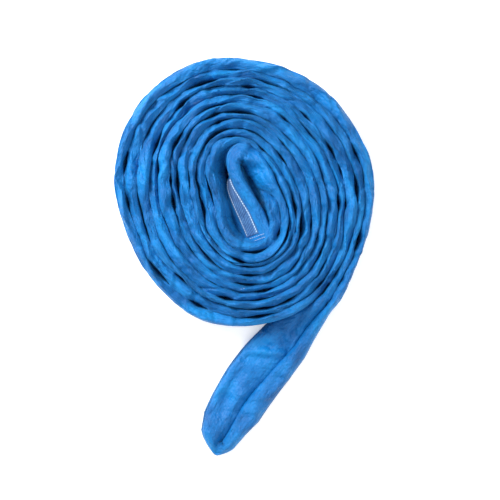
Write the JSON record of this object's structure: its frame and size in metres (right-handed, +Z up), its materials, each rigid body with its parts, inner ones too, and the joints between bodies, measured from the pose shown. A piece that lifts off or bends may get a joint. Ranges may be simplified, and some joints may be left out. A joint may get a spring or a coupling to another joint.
{
  "type": "round sling",
  "caption": "Endless polyester round sling for lifting, pressed flat, doubled and wound into an oval coil with a free tail.",
  "frame": {"origin": "middle of the footprint of the coiled sling with its tail, on the surface that it lies on", "axes": "+Z up, out of the coil; the tail leaves towards -Y, the long way of the sling as it is stored"},
  "size_m": [0.4986, 0.7774, 0.0793],
  "materials": {
    "core_yarn": "loose white polyester yarn",
    "inner_sleeve": "woven, matt",
    "outer_sleeve": "woven polyester with a satin sheen",
    "label": "fine flat weave, blank",
    "thread": "sewing thread"
  },
  "bodies": {
    "root": {"core_yarn": "core_yarn", "inner_sleeve": "inner_sleeve", "outer_sleeve_coil": "outer_sleeve", "outer_sleeve_tail": "outer_sleeve", "identification_label": "label", "label_stitching": "thread", "joint_stitching": "thread"}
  },
  "joints": []
}
